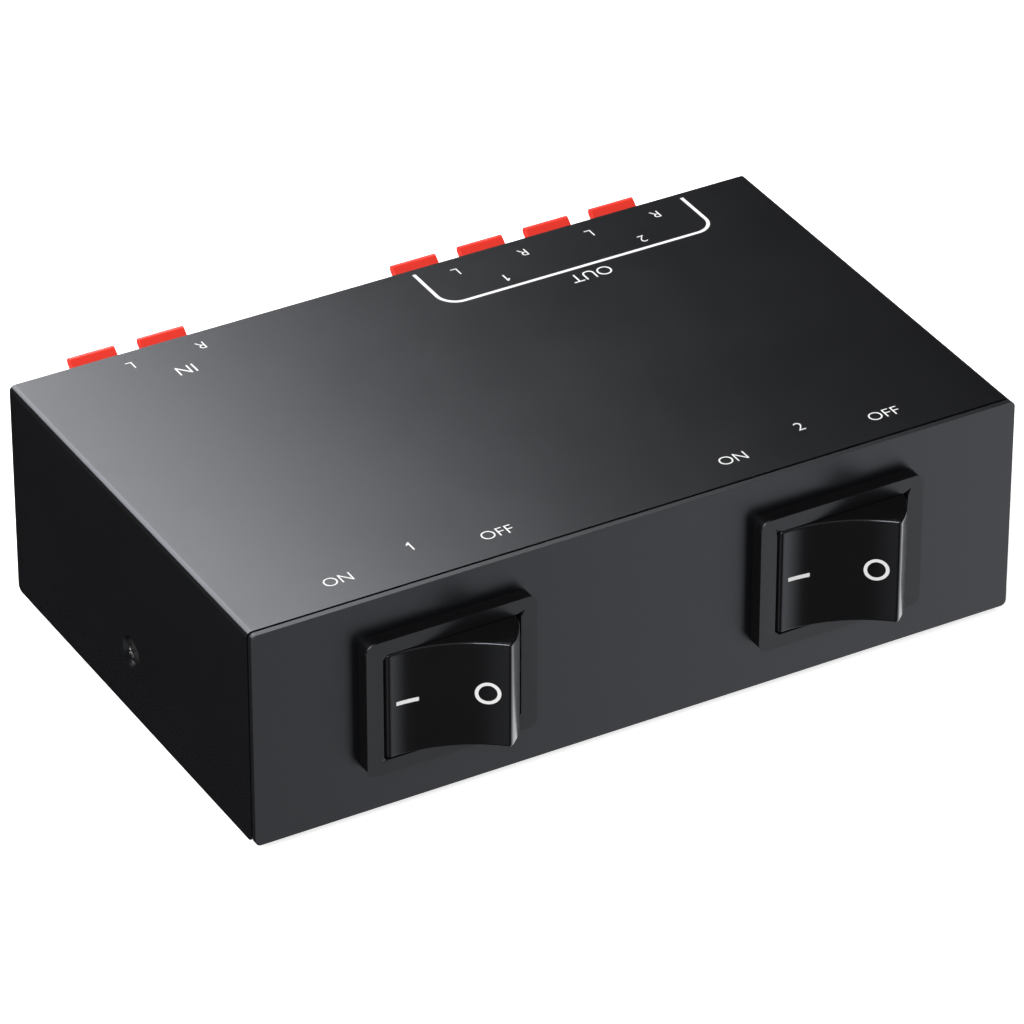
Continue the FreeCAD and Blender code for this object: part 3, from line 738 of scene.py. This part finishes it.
def middles(cad_node):
    """The middle of each solid of a CAD node that holds several."""
    bm = welded(cad_node)
    waiting = set(bm.verts)
    found = []
    while waiting:
        island = set()
        stack = [next(iter(waiting))]
        while stack:
            vertex = stack.pop()
            if vertex in island:
                continue
            island.add(vertex)
            stack.extend(edge.other_vert(vertex) for edge in vertex.link_edges)
        waiting -= island
        low = Vector([min(v.co[axis] for v in island) for axis in range(3)])
        high = Vector([max(v.co[axis] for v in island) for axis in range(3)])
        found.append((low + high) / 2)
    bm.free()
    return sorted(found, key=lambda middle: tuple(middle))


def screws():
    tree = screw_tree()
    places = [Vector((middle.x, plate_face, middle.z)) for middle in middles("terminal_screws")]
    piece = made_on("terminal_plate_screws", places, tree, head_radius=2.7 * mm,
                    head_height=1.75 * mm, shank_radius=1.45 * mm,
                    shank_length=7.4 * mm, recess_span=2.9 * mm, recess_width=0.65 * mm,
                    recess_depth=1.2 * mm, direction=(0, 1, 0), seed=3, material=black_screw)
    dressed(piece, black_screw, "case", ["terminal_screws"])
    sides = []
    low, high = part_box("cover_screws")
    for middle, side in zip(middles("cover_screws"), (-1, 1)):
        face = Vector((low.x if side < 0 else high.x, middle.y, middle.z))
        sides.append(made_on("side_screw", [face - Vector((side * side_screw_sink, 0, 0))], tree,
                             head_radius=2.5 * mm, head_height=1.0 * mm,
                             shank_radius=1.45 * mm, shank_length=5.8 * mm,
                             recess_span=2.7 * mm, recess_width=0.75 * mm,
                             recess_depth=0.8 * mm, direction=(side, 0, 0), seed=5 + side,
                             material=black_screw))
    bm = bmesh.new()
    for piece in sides:
        bm.from_mesh(piece.data)
        bpy.data.objects.remove(piece)
    both = plain(from_bmesh("cover_side_screws", bm), 30)
    dressed(both, black_screw, "case", ["cover_screws"])


def springs():
    tree = spring_tree()
    bore = Matrix.Rotation(rest_tilt, 3, "Z") @ Vector((0, 1, 0))
    for rocker in rockers:
        name = rocker.replace("_rocker", "_plunger_springs")
        places = [middle - bore * spring_length / 2 for middle in middles(name)]
        piece = made_on(name + "_coiled", places, tree, coil_radius=1.35 * mm,
                        wire_radius=0.22 * mm, length=spring_length, turns=7.0,
                        direction=bore, seed=1, material=spring_steel)
        dressed(piece, spring_steel, rocker, [name])


# Terminals

def terminals():
    for block in ("input", "output"):
        eased(block + "_terminal_body", block + "_moulded_block", block_edge, terminal_plastic, 2)
    for name in frame["nodes"]:
        if name.endswith("_lever"):
            plastic = red_plastic if "_red_" in name else black_lever_plastic
            eased(name, name + "_moulded", lever_edge, plastic)


# Lettering

def letters(words, x, y, height, upside_down=False):
    """A word of ink on the top, centred at x and y, read from the front or from behind."""
    curve = bpy.data.curves.new(words, "FONT")
    curve.body = words
    curve.size = height / capital_share
    curve.align_x = "CENTER"
    curve.align_y = "CENTER"
    curve.extrude = ink_thickness
    curve.offset = -letter_thinning
    piece = linked(words, curve)
    depsgraph = bpy.context.evaluated_depsgraph_get()
    mesh = bpy.data.meshes.new_from_object(piece.evaluated_get(depsgraph))
    bpy.data.objects.remove(piece)
    spin = math.pi if upside_down else 0.0
    mesh.transform(Matrix.Translation((x, y, case_top - ink_thickness))
                   @ Matrix.Rotation(spin, 4, "Z"))
    return mesh


def figure_one(x, y, height, upside_down=False):
    """The figure 1 of ink: an upright with a slanted flag at its top left."""
    stroke = height * figure_stroke
    right = x + stroke / 2 + height * figure_shift
    left = right - stroke
    top = y + height / 2
    flag_y = top - height * flag_drop
    flag_x = left - height * flag_reach
    corners = [(right, y - height / 2), (right, top), (right - stroke * flag_head, top),
               (flag_x, flag_y), (flag_x, flag_y - stroke),
               (left, flag_y - stroke * flag_foot), (left, y - height / 2)]
    bm = bmesh.new()
    add_block(bm, [(*corner, case_top) for corner in corners], (0, 0, -2 * ink_thickness))
    mesh = bpy.data.meshes.new("figure one")
    bm.to_mesh(mesh)
    bm.free()
    if upside_down:
        middle = Matrix.Translation((x, y, 0))
        mesh.transform(middle @ Matrix.Rotation(math.pi, 4, "Z") @ middle.inverted())
    return mesh


def bracket(x0, x1, y_back, y_front):
    """A line of ink with two round corners that gathers the output terminals."""
    middle = [(x0, y_back)]
    for centre, start in (((x0 + bracket_corner, y_front + bracket_corner), math.pi),
                          ((x1 - bracket_corner, y_front + bracket_corner), 1.5 * math.pi)):
        for index in range(bracket_steps + 1):
            angle = start + math.pi / 2 * index / bracket_steps
            middle.append((centre[0] + bracket_corner * math.cos(angle),
                           centre[1] + bracket_corner * math.sin(angle)))
    middle.append((x1, y_back))
    bm = bmesh.new()
    sides = []
    for index, (x, y) in enumerate(middle):
        before = Vector(middle[max(index - 1, 0)])
        after = Vector(middle[min(index + 1, len(middle) - 1)])
        along = (after - before).normalized()
        across = Vector((-along.y, along.x)) * bracket_stroke / 2
        for z in (case_top - 2 * ink_thickness, case_top):
            for side in (-1, 1):
                sides.append(bm.verts.new((x + side * across.x, y + side * across.y, z)))
    for index in range(len(middle) - 1):
        a = sides[4 * index:4 * index + 4]
        b = sides[4 * index + 4:4 * index + 8]
        for first, second in ((0, 1), (1, 3), (3, 2), (2, 0)):
            bm.faces.new((a[first], a[second], b[second], b[first]))
    bm.faces.new((sides[0], sides[2], sides[3], sides[1]))
    bm.faces.new((sides[-4], sides[-3], sides[-1], sides[-2]))
    bmesh.ops.recalc_face_normals(bm, faces=bm.faces)
    mesh = bpy.data.meshes.new("bracket")
    bm.to_mesh(mesh)
    bm.free()
    return mesh


def lettering():
    """All the words, numbers and the bracket on the top, as one piece."""
    front = panel_face
    meshes = []
    for rocker, number in zip(rockers, "12"):
        x = joints[rocker + "_tilt"]["pos_m"][0]
        meshes.append(letters("ON", x - 14.9 * mm, front + 7.6 * mm, letter_height))
        meshes.append(letters("OFF", x + 13.6 * mm, front + 7.2 * mm, letter_height))
        place = (x - 0.5 * mm, front + 10.6 * mm, letter_height)
        meshes.append(figure_one(*place) if number == "1" else letters(number, *place))
    for name in (name for name in frame["nodes"] if name.endswith("_red_lever")):
        low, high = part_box(name)
        sign = "L" if "left" in name else "R"
        meshes.append(letters(sign, (low.x + high.x) / 2, front + 81.5 * mm,
                              rear_letter_height, True))
    meshes.append(figure_one(17.7 * mm, front + 75.5 * mm, rear_letter_height, True))
    meshes.append(letters("2", 44.2 * mm, front + 75.5 * mm, rear_letter_height, True))
    meshes.append(letters("IN", -43.0 * mm, front + 75.9 * mm, rear_title_height, True))
    meshes.append(letters("OUT", 30.7 * mm, front + 69.6 * mm, rear_title_height, True))
    meshes.append(bracket(4.42 * mm, 57.0 * mm, front + 84.0 * mm, front + 72.5 * mm))
    bm = bmesh.new()
    for mesh in meshes:
        bm.from_mesh(mesh)
        bpy.data.meshes.remove(mesh)
    bmesh.ops.remove_doubles(bm, verts=bm.verts, dist=ink_weld_distance)
    dressed(plain(from_bmesh("printed_lettering", bm)), white_ink, "case")


# Pieces that are shown as the CAD made them

def inner_parts():
    finishes = {"_contact": brass, "_lugs": brass, "_plungers": natural_nylon,
                "_strips": tinned_steel}
    for name, piece in frame["nodes"].items():
        if piece.hide_render:
            continue
        material = black_wire if "return" in name else red_wire
        for ending, finish in finishes.items():
            if name.endswith(ending):
                material = finish
        piece.data.materials.clear()
        piece.data.materials.append(material)


# Studio

def floor():
    """A pale floor that the camera sees white. Gloss sees the studio through it."""
    bpy.ops.mesh.primitive_plane_add(size=8)
    ground = bpy.context.object
    ground.name = "studio_floor"
    material = bpy.data.materials.new("pale floor")
    material.use_nodes = True
    tree = material.node_tree
    tree.nodes.clear()
    link = tree.links.new
    matte = node(tree, "BsdfDiffuse")
    matte.inputs["Color"].default_value = (0.8, 0.8, 0.8, 1)
    seen = node(tree, "LightPath")
    white = node(tree, "Emission")
    glow = math_node(tree, "MULTIPLY", direct_rays(tree, seen), floor_glow)
    link(glow, white.inputs["Strength"])
    shown = node(tree, "AddShader")
    link(matte.outputs[0], shown.inputs[0])
    link(white.outputs[0], shown.inputs[1])
    both = node(tree, "MixShader")
    link(seen.outputs["Is Glossy Ray"], both.inputs["Fac"])
    link(shown.outputs[0], both.inputs[1])
    link(node(tree, "BsdfTransparent").outputs[0], both.inputs[2])
    link(both.outputs[0], node(tree, "OutputMaterial").inputs["Surface"])
    ground.data.materials.append(material)


def world():
    """White to the camera. Gloss sees a light ground on the right and a dark room."""
    sky = bpy.data.worlds.new("white studio")
    bpy.context.scene.world = sky
    sky.use_nodes = True
    tree = sky.node_tree
    back = tree.nodes["Background"]
    back.inputs["Color"].default_value = (1, 1, 1, 1)
    rays = node(tree, "LightPath")
    way = node(tree, "SeparateXYZ")
    tree.links.new(node(tree, "TexCoord").outputs["Generated"], way.inputs[0])

    def band(axis, limits, most=1.0):
        """Rises from 0 to most between the two limits of a direction's part along an axis."""
        fade = node(tree, "MapRange", clamp=True)
        tree.links.new(way.outputs[axis], fade.inputs["Value"])
        fade.inputs["From Min"].default_value, fade.inputs["From Max"].default_value = limits
        fade.inputs["To Max"].default_value = most
        return fade.outputs[0]

    sides = math_node(tree, "ADD", band("X", light_right, ground_light),
                      band("X", light_left, ground_light * left_share))
    upper = math_node(tree, "MULTIPLY", band("Z", light_above, upper_light),
                      band("Y", light_front))
    light = math_node(tree, "ADD", math_node(tree, "MULTIPLY", sides, band("Z", light_below)),
                      upper)
    glossy = math_node(tree, "MULTIPLY", rays.outputs["Is Glossy Ray"],
                       math_node(tree, "ADD", light, room_light))
    direct = direct_rays(tree, rays)
    matte = math_node(tree, "MULTIPLY", rays.outputs["Is Diffuse Ray"], ambient)
    total = math_node(tree, "ADD", math_node(tree, "ADD", direct, glossy), matte)
    tree.links.new(total, back.inputs["Strength"])


def softbox(name, place, aim, width, height, watts):
    lamp = bpy.data.lights.new(name, "AREA")
    lamp.shape = "RECTANGLE"
    lamp.size = width
    lamp.size_y = height
    lamp.energy = watts
    holder = bpy.data.objects.new(name, lamp)
    bpy.context.scene.collection.objects.link(holder)
    holder.location = place
    holder.rotation_euler = (Vector(aim) - Vector(place)).to_track_quat("-Z", "Y").to_euler()
    holder.visible_camera = False


def lamps():
    """A soft roof behind, whose right edge ends its gleam on the top, and soft front light."""
    softbox("roof softbox", (-0.235, 0.62, 0.5), (-0.235, 0.62, 0), 1.0, 0.65, 13.5)
    softbox("front softbox", (-0.75, -0.7, 0.85), (0.0, 0, 0.02), 0.6, 0.6, 13.0)


def camera():
    view = bpy.data.cameras.new("photo view")
    view.sensor_width = camera_sensor
    view.lens = camera_lens
    view.clip_start = 0.01
    view.clip_end = 50
    holder = bpy.data.objects.new("photo view", view)
    bpy.context.scene.collection.objects.link(holder)
    holder.location = camera_place
    holder.rotation_mode = "QUATERNION"
    holder.rotation_quaternion = Vector(camera_direction).to_track_quat("-Z", "Y")
    bpy.context.scene.camera = holder


case()
rocker_switches()
screws()
springs()
terminals()
lettering()
inner_parts()
floor()
world()
lamps()
camera()
bpy.context.scene.view_settings.view_transform = "Standard"
